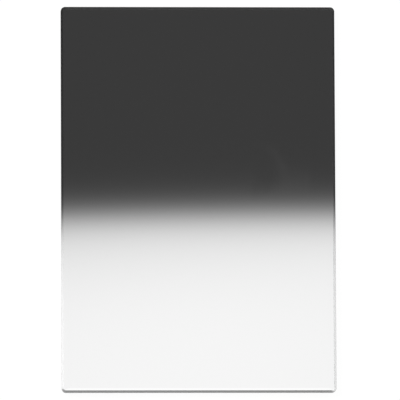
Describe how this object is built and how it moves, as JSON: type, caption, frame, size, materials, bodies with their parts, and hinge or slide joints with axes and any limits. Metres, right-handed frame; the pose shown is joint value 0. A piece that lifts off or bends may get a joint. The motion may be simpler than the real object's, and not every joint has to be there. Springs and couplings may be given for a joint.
{
  "type": "graduated neutral density filter",
  "caption": "Rectangular slot-in camera filter: a flat glass plate with small rounded corners and bevelled rims, its grey tint fading softly from dark at one end to clear at the other.",
  "frame": {"origin": "middle of the rear face, which the plate lies on", "axes": "+X across the width, +Y along the length towards the dark end, +Z through the thickness to the front face"},
  "size_m": [0.1016, 0.1436, 0.004],
  "materials": {
    "graduated_glass": "polished faces with fine ground edges, tint fading from dark at the +Y end to clear at the -Y end"
  },
  "bodies": {
    "root": {"filter_plate": "graduated_glass"}
  },
  "joints": []
}
